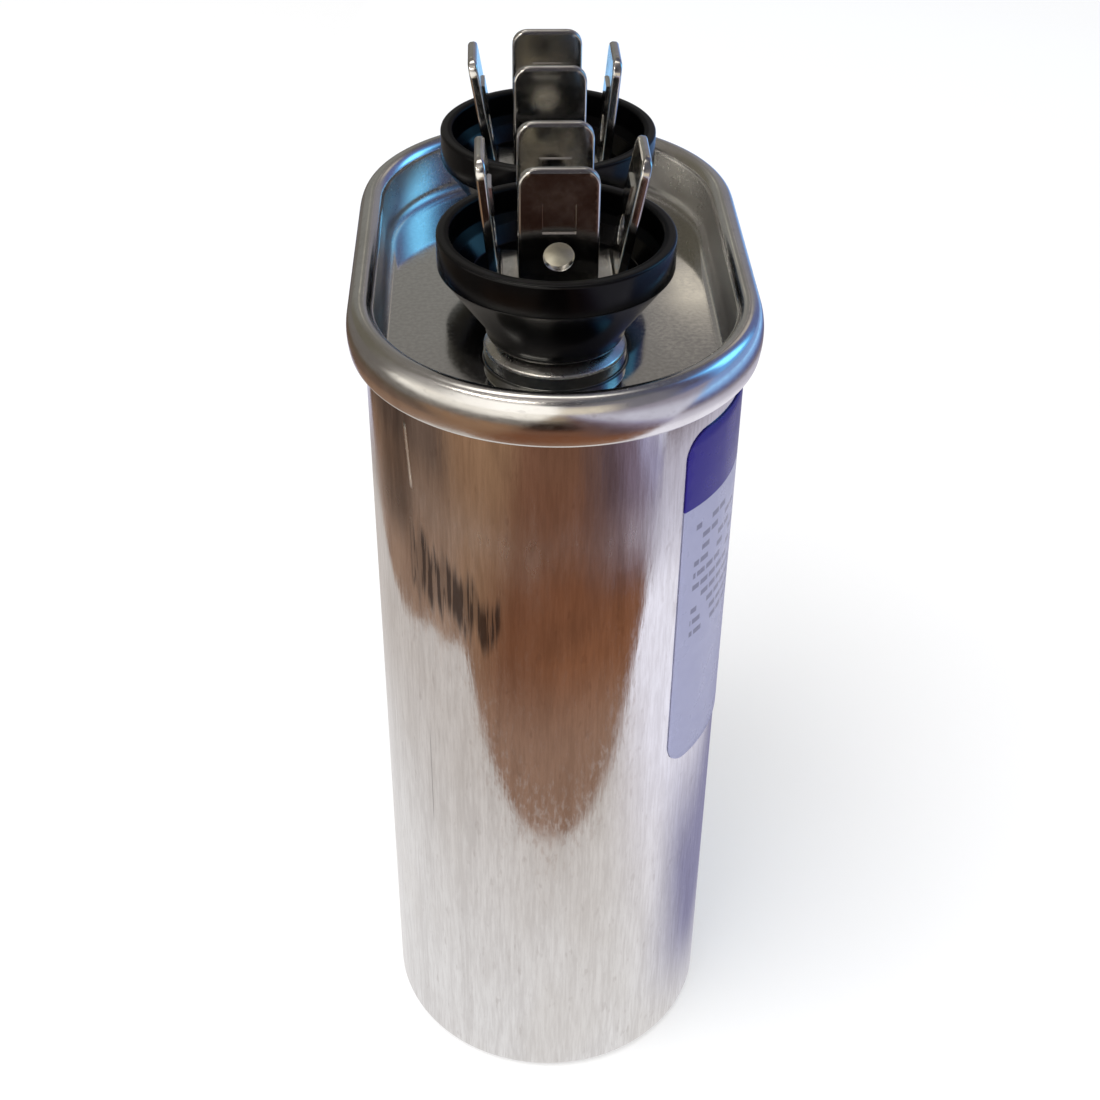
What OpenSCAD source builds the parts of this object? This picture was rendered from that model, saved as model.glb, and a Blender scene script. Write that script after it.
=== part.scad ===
// Oval motor run capacitor with two terminals of four push-on blades each.
// The origin is the centre of the bottom of the can. X runs across the narrow way,
// Y runs through the two terminals, and Z is up. "Front" is the -Y end.

/* [Can] */
// Width of the drawn can over its flat sides
can_w = 32.2; // [28:0.1:40]
// Length of the can over its round ends
can_l = 52; // [43:0.1:64]
// Height from the bottom to the top of the rolled seam
case_h = 82.5; // [62:0.5:130]
// Sheet thickness of the can
can_wall = 0.46; // [0.35:0.01:0.6]
// Outside radius of the bottom edge
bottom_r = 1.2; // [0.8:0.05:2]

/* [Seam] */
// Sheet thickness of the cover
cover_t = 0.42; // [0.3:0.01:0.55]
// Height of the rolled seam
seam_h = 4.3; // [3.6:0.1:5]
// Film of sealing compound between two layers of the seam
seam_gap = 0.04; // [0.02:0.01:0.08]
// Free play left above the cover hook and below the can hook
hook_play = 0.4; // [0.2:0.05:0.6]

/* [Cover] */
// Depth of the cover panel below the top of the seam
recess_d = 5.6; // [5:0.1:7]
// Inside radius between the panel and the upright wall of the cover
panel_r = 0.9; // [0.5:0.05:1.4]
// Distance between the two terminals
terminal_pitch = 21; // [20:0.1:26]
// How far the raised boss under each terminal stands out past the neck of the cup
boss_ledge = 0.15; // [0.1:0.05:0.6]
// Height of the raised boss
boss_h = 1.1; // [0.95:0.05:1.5]
// Outside radius of the boss edge
boss_edge_r = 0.55; // [0.45:0.05:0.75]
// Inside radius at the foot of the boss
boss_foot_r = 0.3; // [0.2:0.05:0.5]
// Radial play of the cup spigot in the hole of the cover
spigot_play = 0.15; // [0.1:0.05:0.3]

/* [Terminal cup] */
// Outside diameter of the cup
cup_d = 19.6; // [18:0.1:19.8]
// Height of the cup rim above the top of the seam
cup_rise = 6; // [5:0.1:8]
// Height of the upright band at the rim
cup_band_h = 3; // [2:0.1:3.6]
// Wall of the cup at its rim
cup_wall = 1.1; // [0.8:0.1:1.4]
// Depth of the cup from its rim to its floor
cup_depth = 4.1; // [3.4:0.1:4.6]
// Height of the upright inner wall, from the rim down
cup_inner_h = 2.05; // [1:0.05:2.6]
// How far the inner wall tapers in from there to the floor
cup_taper = 1.5; // [0.6:0.1:1.8]
// Radius of the neck
neck_r = 5.9; // [5.2:0.1:6]
// Height of the straight part of the neck
neck_h = 1.2; // [0.4:0.1:1.8]
// Bevel between the neck and its seat on the boss
neck_bevel = 0.9; // [0.3:0.1:1.1]
// Radius of the spigot that passes through the cover
spigot_r = 3.6; // [3:0.1:4]
// Radius on the edges of the rim
cup_edge_r = 0.28; // [0.1:0.02:0.4]

/* [Blades] */
// Width of a push-on blade
blade_w = 6.35; // [4.75:0.05:6.35]
// Thickness of a blade
blade_t = 0.81; // [0.7:0.01:0.9]
// Height of the front and rear blades, from the underside of their strap to their tips
blade_h = 10.6; // [9:0.1:12]
// Height of the side blades, from the underside of their strap to their tips
side_blade_h = 11.2; // [9.6:0.1:12.6]
// Radius of the corners at the tip
blade_tip_r = 1.4; // [0.8:0.1:2]
// Bevel on the faces of the tip
blade_bevel = 0.22; // [0.1:0.01:0.3]
// Inside radius of the bend at the foot of a blade
bend_r = 0.3; // [0.2:0.05:0.8]
// Room between the upper strap and the bends of the side blades beside it
side_room = 1.2; // [0.4:0.05:1.4]
// Outward lean of the side blades in degrees
side_lean = 8; // [0:1:10]
// Room between the edge of the lower strap and the bends of the front and rear blades
cross_room = 0.57; // [0.05:0.01:1]
// Outward lean of the front and rear blades in degrees
cross_lean = 0; // [0:1:3]
// Play between the corners of a strap and the foot of the cup's inner wall
strap_play = 0.3; // [0.1:0.05:0.5]
// Width of the latching dimple
dimple_w = 2.65; // [2:0.05:3]
// Height of the latching dimple
dimple_h = 2.5; // [2:0.1:3]
// Depth of the latching dimple
dimple_d = 0.3; // [0.2:0.05:0.4]
// Distance from the tip to the top of the dimple
dimple_drop = 2.9; // [2.5:0.1:3.4]
// Diameter of the hole near the foot of a blade
wire_hole_d = 2.45; // [1.8:0.05:2.6]
// Distance from the tip to the centre of that hole
wire_hole_drop = 7.35; // [7:0.05:7.6]

/* [Rivets and seals] */
// Radius of the rivet shank
rivet_r = 1.6; // [1.4:0.05:2]
// Radius of the rivet head in the cup
rivet_head_r = 2.5; // [2.2:0.1:3]
// Height of the rivet head in the cup
rivet_head_h = 0.85; // [0.6:0.05:1.1]
// Radius of the formed end inside the can
rivet_end_r = 2.4; // [2.2:0.1:2.8]
// Height of the formed end inside the can
rivet_end_h = 0.8; // [0.6:0.05:1]
// Radial play of the rivet in every piece it clamps
rivet_play = 0.05; // [0.03:0.01:0.12]
// Radial play of the sealing gasket inside the boss
gasket_play = 0.23; // [0.1:0.01:0.6]
// How far the insulating washer laps past the boss, under the cover
washer_lap = 0.55; // [0.4:0.05:1.2]
// Thickness of the insulating washer under the cover
washer_t = 1.8; // [1.4:0.1:2.4]
// Width of the contact plate across the can
contact_w = 8; // [7:0.1:9]
// Reach of the contact plate from the rivet towards the middle of the can
contact_reach = 8.4; // [8:0.1:9]
// Thickness of the contact plate
contact_t = 0.8; // [0.6:0.05:1]
// Gap between two stacked pieces that are clamped on each other
stack_gap = 0.02; // [0.01:0.01:0.04]

/* [Winding] */
// Thickness of the interrupter plate
plate_t = 1.6; // [1.2:0.1:2.4]
// Room between the rivet ends and the interrupter plate
plate_room = 3; // [2:0.1:5]
// Play between the interrupter plate and the can
plate_play = 0.3; // [0.2:0.05:0.6]
// Length of the feet of the interrupter plate
foot_h = 3; // [2:0.1:5]
// Radius of the feet of the interrupter plate
foot_r = 1.5; // [1:0.1:2]
// Play between the insulating wrap and the can
wrap_play = 0.25; // [0.15:0.05:0.6]
// Thickness of the insulating wrap
wrap_t = 0.5; // [0.3:0.05:0.8]
// Play between the winding and the wrap
roll_play = 0.05; // [0.03:0.01:0.1]
// Thickness of the sprayed metal on each end of the winding
spray_t = 0.8; // [0.5:0.1:1.2]
// Half width of the flattened core
core_r = 1.4; // [1.2:0.1:2]
// Wall of the core
core_wall = 0.6; // [0.4:0.05:0.7]
// Length of the straight part of the core
core_straight = 16; // [13:0.5:18]
// Thickness of the insulator on the bottom of the can
pad_t = 1; // [0.8:0.1:1.6]

/* [Leads] */
// Width of a lead ribbon
lead_w = 3; // [2:0.1:3.4]
// Thickness of a lead ribbon
lead_t = 0.4; // [0.3:0.05:0.5]
// Length of the welded foot at each end of a lead
lead_foot = 2.8; // [2:0.1:3.2]
// Distance from the middle of the can to the centre of each lead
lead_y = 4.6; // [4:0.1:5.6]
// Play around a lead where it passes through a slot
lead_play = 0.4; // [0.3:0.05:0.8]

/* [Label] */
// Height of the label
label_h = 36.3; // [30:0.1:44]
// Distance from the top of the seam down to the top of the label
label_drop = 6.6; // [5.6:0.1:12]
// Angle round the can end, from its tip, at which the label starts
label_from = 39.5; // [30:0.5:60]
// Corner radius of the label
label_r = 2.4; // [1:0.1:4]
// Thickness of the label
label_t = 0.12; // [0.08:0.01:0.2]
// Film of glue between the label and the can
label_glue = 0.02; // [0.01:0.01:0.05]

/* [Hidden] */
$fn = 96;
eps = 0.01;
FRONT = -1;
REAR = 1;

// Plan of the can: two half circles of radius can_r, joined by straight sides
can_r = can_w / 2;
half_straight = (can_l - can_w) / 2;
can_in_r = can_r - can_wall;

// Layers of the seam, as radii in the can ends, from the inside out
chuck_r = can_in_r - seam_gap - cover_t;
cover_hook_r = can_r + seam_gap;
can_hook_r = cover_hook_r + cover_t + seam_gap;
skirt_r = can_hook_r + can_wall + seam_gap;
seam_r = skirt_r + cover_t;
crest_r = (seam_r - chuck_r) / 2;
crest_x = chuck_r + crest_r;
crest_z = case_h - crest_r;
can_crest_r = (can_hook_r + can_wall - can_in_r) / 2;
curl_r = (seam_r - cover_hook_r) / 2;
curl_x = cover_hook_r + curl_r;
curl_z = case_h - seam_h + curl_r;

// Heights of the cover and of what is clamped on it
panel_z = case_h - recess_d;
panel_under = panel_z - cover_t;
boss_z = panel_z + boss_h;
boss_under = boss_z - cover_t;
cover_hole_r = spigot_r + spigot_play;
boss_r = neck_r + boss_ledge;
gasket_r = boss_r - cover_t - gasket_play;
washer_r = boss_r + washer_lap;
cup_top = case_h + cup_rise;
cup_r = cup_d / 2;
cup_floor = cup_top - cup_depth;
rivet_bore = rivet_r + rivet_play;
side_z = cup_floor + stack_gap;
cross_z = side_z + blade_t + stack_gap;
head_z = cross_z + blade_t + stack_gap;
side_offset = blade_w / 2 + side_room + bend_r + blade_t / 2;
cross_offset = blade_w / 2 + cross_room + bend_r + blade_t / 2;
strap_corner_r = norm([max(side_offset, cross_offset) + blade_t / 2, blade_w / 2]);
cup_floor_r = max(cup_r - cup_wall - cup_taper, strap_corner_r + strap_play);
spigot_z = panel_under + stack_gap;
washer_top = panel_under - stack_gap;
contact_top = washer_top - washer_t - stack_gap;
contact_z = contact_top - contact_t;
rivet_end_top = contact_z - stack_gap;
rivet_end_z = rivet_end_top - rivet_end_h;

// Heights inside the can, from the bottom up and from the cover down
pad_top = can_wall + stack_gap + pad_t;
spray_bottom_z = pad_top + stack_gap;
roll_z = spray_bottom_z + spray_t;
plate_z = rivet_end_z - plate_room - plate_t;
spray_top_end = plate_z - foot_h - stack_gap;
roll_top = spray_top_end - spray_t;
wrap_r = can_in_r - wrap_play;
roll_r = wrap_r - wrap_t - roll_play;
pad_r = can_in_r - (bottom_r - can_wall) - plate_play;
slot_r = core_r - core_wall;
short_lead_x = core_r + lead_play + lead_t / 2;
lead_top = contact_z - stack_gap;

// Puts a piece at one terminal, with the piece's +Y towards the middle of the can
module at_terminal(end) {
    translate([0, end * terminal_pitch / 2, 0]) rotate([0, 0, 90 + end * 90]) children();
}

// A plan with two round ends
module oval(r, straight = half_straight) {
    square([2 * r, 2 * straight], center = true);
    for (end = [FRONT, REAR]) translate([0, end * straight]) circle(r);
}

// Carries a section, drawn as radius and height, all the way round the can
module round_the_can() {
    for (end = [FRONT, REAR])
        translate([0, end * half_straight, 0]) rotate([0, 0, 90 - end * 90])
            rotate_extrude(angle = 180) children();
    for (side = [0, 1])
        mirror([side, 0, 0]) rotate([90, 0, 0])
            linear_extrude(2 * half_straight, center = true) children();
}

// The section of a solid block whose bottom edge is rounded
module corner_block(r, h, edge) {
    square([r - edge, h]);
    translate([0, edge]) square([r, h - edge]);
    translate([r - edge, edge]) circle(edge);
}

// The section of a sheet bent round a centre, kept only inside a box
module bent_sheet(outer, t, corner, size) {
    intersection() {
        difference() {
            circle(outer);
            circle(outer - t);
        }
        translate(corner) square(size);
    }
}

module upper_half(outer, t) {
    bent_sheet(outer, t, [-outer, 0], [2 * outer, outer]);
}

module lower_half(outer, t) {
    bent_sheet(outer, t, [-outer, -outer], [2 * outer, outer]);
}

module can() {
    color("silver") round_the_can() {
        union() {
            difference() {
                corner_block(can_r, crest_z, bottom_r);
                translate([0, can_wall])
                    corner_block(can_in_r, case_h, bottom_r - can_wall);
            }
            translate([crest_x, crest_z]) upper_half(can_crest_r, can_wall);
            translate([can_hook_r, curl_z + hook_play])
                square([can_wall, crest_z - curl_z - hook_play]);
        }
    }
}

module cover_section() {
    translate([0, panel_under]) square([chuck_r - panel_r, cover_t]);
    translate([chuck_r - panel_r, panel_z + panel_r])
        bent_sheet(panel_r + cover_t, cover_t, [0, -panel_r - cover_t],
            [panel_r + cover_t, panel_r + cover_t]);
    translate([chuck_r, panel_z + panel_r])
        square([cover_t, crest_z - panel_z - panel_r]);
    translate([crest_x, crest_z]) upper_half(crest_r, cover_t);
    translate([skirt_r, curl_z]) square([cover_t, crest_z - curl_z]);
    translate([curl_x, curl_z]) lower_half(curl_r, cover_t);
    translate([cover_hook_r, curl_z])
        square([cover_t, crest_z - hook_play - curl_z]);
}

module boss_section() {
    flange = 0.5;
    edge_in = boss_r - boss_edge_r;
    foot_out = boss_r + boss_foot_r;
    translate([cover_hole_r, boss_under]) square([edge_in - cover_hole_r, cover_t]);
    translate([edge_in, boss_z - boss_edge_r])
        bent_sheet(boss_edge_r, cover_t, [0, 0], [boss_edge_r, boss_edge_r]);
    translate([boss_r - cover_t, panel_z + boss_foot_r])
        square([cover_t, boss_h - boss_edge_r - boss_foot_r]);
    translate([foot_out, panel_z + boss_foot_r])
        bent_sheet(boss_foot_r + cover_t, cover_t, [-boss_foot_r - cover_t, -boss_foot_r - cover_t],
            [boss_foot_r + cover_t, boss_foot_r + cover_t]);
    translate([foot_out, panel_under]) square([flange, cover_t]);
}

module cover() {
    color("gainsboro") {
        difference() {
            round_the_can() cover_section();
            for (end = [FRONT, REAR]) at_terminal(end)
                translate([0, 0, panel_under - eps])
                    cylinder(r = boss_r + boss_foot_r, h = cover_t + 2 * eps);
        }
        for (end = [FRONT, REAR]) at_terminal(end) rotate_extrude() boss_section();
    }
}

// Points of an arc of a circle, or of an ellipse where ry is given
function arc(x, y, rx, from, to, ry = 0, steps = 6) =
    [for (i = [0 : steps]) let (a = from + (to - from) * i / steps)
        [x + rx * cos(a), y + (ry > 0 ? ry : rx) * sin(a)]];

module terminal_cup(end) {
    rim_in = cup_r - cup_wall;
    band_z = cup_top - cup_band_h;
    neck_z = boss_z + stack_gap + neck_bevel;
    color("#1c1c1e") at_terminal(end) rotate_extrude()
        polygon(concat(
            [[rivet_bore, spigot_z], [spigot_r, spigot_z], [spigot_r, boss_z + stack_gap],
             [neck_r - neck_bevel, boss_z + stack_gap], [neck_r, neck_z],
             [neck_r, neck_z + neck_h]],
            arc(cup_r - cup_edge_r, band_z + cup_edge_r, cup_edge_r, -55, 0),
            arc(cup_r - cup_edge_r, cup_top - cup_edge_r, cup_edge_r, 0, 90),
            arc(rim_in + cup_edge_r, cup_top - cup_edge_r, cup_edge_r, 90, 180),
            [[rim_in, cup_top - cup_inner_h], [cup_floor_r, cup_floor],
             [rivet_bore, cup_floor]]));
}

// The face of a blade, from its foot at y = 0 to its rounded tip
module blade_outline(length) {
    half = blade_w / 2;
    inner = half - blade_tip_r;
    translate([-half, 0]) square([blade_w, length - blade_tip_r]);
    translate([-inner, 0]) square([2 * inner, length]);
    for (side = [-1, 1])
        translate([side * inner, length - blade_tip_r]) circle(blade_tip_r);
}

// What is cut away from one blade that stands on Z, with its outer face towards +X
module blade_cuts(length) {
    corner = 2 * blade_tip_r;
    rotate([90, 0, 90]) linear_extrude(3 * blade_t, center = true) {
        difference() {
            translate([-blade_w, length - corner]) square([2 * blade_w, 2 * corner]);
            blade_outline(length);
        }
        translate([0, length - wire_hole_drop]) circle(d = wire_hole_d);
    }
    translate([blade_t / 2 - dimple_d, -dimple_w / 2, length - dimple_drop - dimple_h])
        cube([blade_t, dimple_w, dimple_h]);
    rotate([90, 0, 0]) linear_extrude(2 * blade_w, center = true)
        for (face = [0, 1]) mirror([face, 0]) translate([blade_t / 2, length])
            polygon([[blade_bevel, -4 * blade_bevel], [2 * blade_bevel, blade_bevel],
                [-1.5 * blade_bevel, blade_bevel]]);
}

// The pressed-out back of the dimple, on the inner face
module dimple_back(length) {
    translate([-blade_t / 2 - dimple_d, -(dimple_w - dimple_d) / 2,
        length - dimple_drop - dimple_h + dimple_d / 2])
        cube([dimple_d + eps, dimple_w - dimple_d, dimple_h - dimple_d]);
}

// Side view of all that lies inside a bent line whose bends have radius r
module bent_fill(r, bend_x, bend_z, lean, length) {
    top_x = bend_x + length * sin(lean);
    top_z = bend_z + length * cos(lean);
    polygon([[-bend_x, bend_z - r], [bend_x, bend_z - r], [bend_x, bend_z],
        [top_x, top_z], [-top_x, top_z], [-bend_x, bend_z]]);
    for (side = [0, 1]) mirror([side, 0]) translate([bend_x, bend_z]) {
        circle(r);
        rotate(-lean) square([r, length]);
    }
}

// Side view of a strap bent up at both ends, with its underside on y = 0
module strap_section(bend_x, bend_z, lean, length) {
    difference() {
        bent_fill(bend_r + blade_t, bend_x, bend_z, lean, length);
        bent_fill(bend_r, bend_x, bend_z, lean, length + blade_t);
    }
}

// A strap bent up at both ends into two blades, with its underside on z = 0
module bent_strap(offset, lean, height) {
    bend_x = offset - blade_t / 2 - bend_r;
    bend_z = blade_t + bend_r;
    mid_r = bend_r + blade_t / 2;
    length = (height - bend_z + mid_r * sin(lean)) / cos(lean);
    difference() {
        rotate([90, 0, 0]) linear_extrude(blade_w, center = true)
            strap_section(bend_x, bend_z, lean, length);
        translate([0, 0, -eps]) cylinder(r = rivet_bore, h = blade_t + 2 * eps);
        for (side = [0, 1]) mirror([side, 0, 0])
            translate([bend_x, 0, bend_z]) rotate([0, lean, 0]) translate([mid_r, 0, 0])
                blade_cuts(length);
    }
    for (side = [0, 1]) mirror([side, 0, 0])
        translate([bend_x, 0, bend_z]) rotate([0, lean, 0]) translate([mid_r, 0, 0])
            dimple_back(length);
}

module side_blades(end) {
    color("#b9b7ae") at_terminal(end) translate([0, 0, side_z])
        bent_strap(side_offset, side_lean, side_blade_h);
}

module cross_blades(end) {
    color("#c4c2b8") at_terminal(end) translate([0, 0, cross_z])
        rotate([0, 0, 90]) bent_strap(cross_offset, cross_lean, blade_h);
}

module rivet(end) {
    dome_r = (rivet_head_r * rivet_head_r + rivet_head_h * rivet_head_h) / (2 * rivet_head_h);
    color("#d0cec6") at_terminal(end) {
        translate([0, 0, rivet_end_top]) cylinder(r = rivet_r, h = head_z - rivet_end_top);
        translate([0, 0, rivet_end_z]) cylinder(r = rivet_end_r, h = rivet_end_h);
        intersection() {
            translate([0, 0, head_z + rivet_head_h - dome_r]) sphere(dome_r);
            translate([0, 0, head_z]) cylinder(r = 2 * rivet_head_r, h = 2 * rivet_head_h);
        }
    }
}

module ring(outer, inner, z, h) {
    translate([0, 0, z]) difference() {
        cylinder(r = outer, h = h);
        translate([0, 0, -eps]) cylinder(r = inner, h = h + 2 * eps);
    }
}

module gasket(end) {
    color("#2b2b2b") at_terminal(end)
        ring(gasket_r, spigot_r + stack_gap, washer_top + stack_gap,
            boss_under - washer_top - 2 * stack_gap);
}

module insulating_washer(end) {
    color("#e8e2d0") at_terminal(end)
        ring(washer_r, rivet_bore, washer_top - washer_t, washer_t);
}

module contact_plate(end) {
    half = contact_w / 2;
    color("#c8a55a") at_terminal(end) difference() {
        translate([-half, -half, contact_z])
            cube([contact_w, half + contact_reach, contact_t]);
        translate([0, 0, contact_z - eps])
            cylinder(r = rivet_bore, h = contact_t + 2 * eps);
    }
}

module lead_slot(x, end) {
    translate([x - lead_t / 2 - lead_play, end * lead_y - lead_w / 2 - lead_play])
        square([lead_t + 2 * lead_play, lead_w + 2 * lead_play]);
}

module interrupter_plate() {
    foot_x = roll_r / 2;
    color("#8a5a33") {
        translate([0, 0, plate_z]) linear_extrude(plate_t) difference() {
            oval(can_in_r - plate_play);
            lead_slot(short_lead_x, FRONT);
            lead_slot(0, REAR);
        }
        for (x = [-foot_x, foot_x], y = [-half_straight, half_straight])
            translate([x, y, plate_z - foot_h])
                cylinder(r = foot_r, h = foot_h + plate_t / 2);
    }
}

// A ribbon from the contact plate down to a bottom foot that points to +X. Its top foot
// points to +X too, or to -X where top_side is -1.
module lead(x, end, bottom, top_side) {
    reach = lead_foot - lead_t / 2;
    color("#cfd3d6") translate([x, end * lead_y - lead_w / 2, 0]) {
        translate([-lead_t / 2, 0, bottom]) cube([lead_t, lead_w, lead_top - bottom]);
        translate([-lead_t / 2, 0, bottom]) cube([lead_foot, lead_w, lead_t]);
        translate([top_side > 0 ? -lead_t / 2 : -reach, 0, lead_top - lead_t])
            cube([lead_foot, lead_w, lead_t]);
    }
}

module short_lead() {
    lead(short_lead_x, FRONT, spray_top_end + stack_gap, -1);
}

module long_lead() {
    lead(0, REAR, spray_bottom_z - stack_gap - lead_t, 1);
}

module winding() {
    color("#d8d4c4") translate([0, 0, roll_z]) linear_extrude(roll_top - roll_z)
        difference() {
            oval(roll_r);
            oval(core_r + stack_gap, core_straight / 2);
        }
}

module winding_core() {
    color("#f0ead6") translate([0, 0, roll_z]) linear_extrude(roll_top - roll_z)
        difference() {
            oval(core_r, core_straight / 2);
            oval(slot_r, core_straight / 2);
        }
}

module end_spray(z) {
    color("#9da0a2") translate([0, 0, z]) linear_extrude(spray_t)
        difference() {
            oval(roll_r);
            oval(slot_r, core_straight / 2);
        }
}

module insulating_wrap() {
    color("#e9e4d4") translate([0, 0, spray_bottom_z])
        linear_extrude(spray_top_end - spray_bottom_z) difference() {
            oval(wrap_r);
            oval(wrap_r - wrap_t);
        }
}

module bottom_insulator() {
    color("#dcd2b4") difference() {
        translate([0, 0, can_wall + stack_gap]) linear_extrude(pad_t) oval(pad_r);
        translate([-lead_t / 2 - lead_play, lead_y - lead_w / 2 - lead_play,
            pad_top - lead_t - lead_play])
            cube([lead_foot + 2 * lead_play, lead_w + 2 * lead_play,
                lead_t + lead_play + eps]);
    }
}

// Seen from the side, the label is a rectangle with rounded corners. Where it starts on
// the round end it turns away from the view, so its corners are drawn narrower there.
module label_outline() {
    half_y = half_straight + can_r * cos(label_from);
    rx = label_r * sin(label_from);
    top = case_h - label_drop;
    low = top - label_h;
    y = half_y - rx;
    polygon(concat(
        arc(y, top - label_r, rx, 0, 90, label_r),
        arc(-y, top - label_r, rx, 90, 180, label_r),
        arc(-y, low + label_r, rx, 180, 270, label_r),
        arc(y, low + label_r, rx, 270, 360, label_r)));
}

module label() {
    glue_r = can_r + label_glue;
    color("#b4b4cd") intersection() {
        linear_extrude(case_h) difference() {
            oval(glue_r + label_t);
            oval(glue_r);
        }
        rotate([90, 0, 90]) linear_extrude(can_w) label_outline();
    }
}

can();
cover();
terminal_cup(FRONT);  // cup_front
terminal_cup(REAR);  // cup_rear
side_blades(FRONT);  // side_blades_front
side_blades(REAR);  // side_blades_rear
cross_blades(FRONT);  // cross_blades_front
cross_blades(REAR);  // cross_blades_rear
rivet(FRONT);  // rivet_front
rivet(REAR);  // rivet_rear
gasket(FRONT);  // gasket_front
gasket(REAR);  // gasket_rear
insulating_washer(FRONT);  // insulating_washer_front
insulating_washer(REAR);  // insulating_washer_rear
contact_plate(FRONT);  // contact_plate_front
contact_plate(REAR);  // contact_plate_rear
interrupter_plate();
short_lead();
long_lead();
winding();
winding_core();
end_spray(roll_top);  // end_spray_top
end_spray(spray_bottom_z);  // end_spray_bottom
insulating_wrap();
bottom_insulator();
label();
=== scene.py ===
"""The looks of an oval motor run capacitor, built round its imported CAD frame.

Every piece that shows is rebuilt here as a fine, smooth mesh on the main sizes of its CAD node. The
barrel of the seam, the bosses, the lean of the side blades and the depth of the dimples follow the
photo closer than the CAD does. The pieces sealed inside the can keep their CAD meshes and get a
material. All lengths are metres.
"""
import math

import bmesh
import bpy
import numpy as np
from mathutils import Matrix, Vector, geometry, noise


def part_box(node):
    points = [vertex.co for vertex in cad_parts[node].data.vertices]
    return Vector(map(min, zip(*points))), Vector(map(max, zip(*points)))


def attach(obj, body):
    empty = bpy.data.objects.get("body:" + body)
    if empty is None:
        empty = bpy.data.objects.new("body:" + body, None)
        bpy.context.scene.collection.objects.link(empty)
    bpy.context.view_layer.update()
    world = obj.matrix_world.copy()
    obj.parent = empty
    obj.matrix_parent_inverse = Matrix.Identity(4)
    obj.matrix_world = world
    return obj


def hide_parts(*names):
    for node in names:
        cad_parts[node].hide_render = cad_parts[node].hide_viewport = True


MM = 0.001
ENDS = {"front": -1, "rear": 1}

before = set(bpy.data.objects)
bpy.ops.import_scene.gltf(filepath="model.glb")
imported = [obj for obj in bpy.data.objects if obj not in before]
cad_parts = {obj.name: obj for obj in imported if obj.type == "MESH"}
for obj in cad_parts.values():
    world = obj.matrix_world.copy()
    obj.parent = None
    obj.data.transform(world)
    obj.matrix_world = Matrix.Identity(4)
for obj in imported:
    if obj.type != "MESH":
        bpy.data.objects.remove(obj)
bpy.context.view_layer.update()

# --- Sizes: sheet thicknesses, radii and plays, then places worked out from the frame ---

CAN_WALL = 0.46 * MM
COVER_T = 0.42 * MM
SEAM_GAP = 0.04 * MM
BOTTOM_R = 1.2 * MM
HOOK_PLAY = 0.4 * MM
CURL_R = 0.44 * MM
PANEL_R = 1.1 * MM
PANEL_LAP = 0.15 * MM
PANEL_WAVE = 0.02 * MM
PANEL_STILL = 3.5 * MM
WALL_WAVE = 0.035 * MM
BOSS_R = 6.05 * MM
BOSS_H = 1.45 * MM
BOSS_EDGE_R = 0.35 * MM
BOSS_SHOULDER = 0.55 * MM
BOSS_FOOT_R = 0.12 * MM
BOSS_EDGE_TURN = 56
BOSS_CROWN_CHAMFER = (0.1 * MM, 0.03 * MM)
BOSS_UNDER_DROP = 0.1 * MM
BOSS_UNDER_R = 0.05 * MM
COVER_HOLE_R = 3.75 * MM
CUP_BAND_H = 3 * MM
CUP_WALL = 1.1 * MM
CUP_DEPTH = 4.1 * MM
CUP_INNER_H = 2.05 * MM
CUP_TAPER = 1.5 * MM
CUP_EDGE_R = 0.28 * MM
CUP_PLAY = 0.02 * MM
NECK_R = 5.9 * MM
NECK_H = 0.4 * MM
NECK_ROUND = 0.9 * MM
NECK_FOOT_R = 4.7 * MM
SPIGOT_R = 3.6 * MM
BORE_R = 1.65 * MM
BLADE_W = 6.35 * MM
BLADE_T = 0.81 * MM
BLADE_TIP_R = 1.4 * MM
BLADE_EDGE_R = 0.19 * MM
HOLE_EDGE_R = 0.06 * MM
TIP_BEVEL_H = 0.35 * MM
TIP_BEVEL_D = 0.18 * MM
BEND_R = 0.3 * MM
SIDE_BLADE_H = 11.2 * MM
CROSS_BLADE_H = 10.6 * MM
SIDE_GAP = 1.2 * MM
CROSS_GAP = 0.57 * MM
SIDE_LEANS = {"front": (6.2, 10.4), "rear": (9.8, 5.0)}
CROSS_LEANS = (0, 0)
DIMPLE_W = 2.65 * MM
DIMPLE_H = 2.5 * MM
DIMPLE_D = 0.22 * MM
DIMPLE_DROP = 2.9 * MM
DIMPLE_LIP = 0.09 * MM
DIMPLE_FLANK = 0.03 * MM
WIRE_HOLE_R = 1.225 * MM
WIRE_HOLE_DROP = 7.35 * MM
LABEL_GLUE = 0.02 * MM
LABEL_T = 0.12 * MM
LABEL_R = 2.4 * MM
LABEL_EDGE_R = 0.03 * MM
LABEL_BAND = 0.796
LABEL_ROWS = 28

cover_low, cover_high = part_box("cover")
cup_low, cup_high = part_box("cup_front")
label_low, label_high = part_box("label")

SEAM_R = cover_high.x
HALF_STRAIGHT = cover_high.y - SEAM_R
CASE_H = cover_high.z
PANEL_Z = cover_low.z + COVER_T
SKIRT_R = SEAM_R - COVER_T
CAN_R = SKIRT_R - SEAM_GAP - CAN_WALL - SEAM_GAP - COVER_T - SEAM_GAP
CAN_IN_R = CAN_R - CAN_WALL
CHUCK_R = CAN_IN_R - SEAM_GAP - COVER_T
HOOK_R = CAN_R + SEAM_GAP
CREST_Z = CASE_H - (SEAM_R - CHUCK_R) / 2
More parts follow.
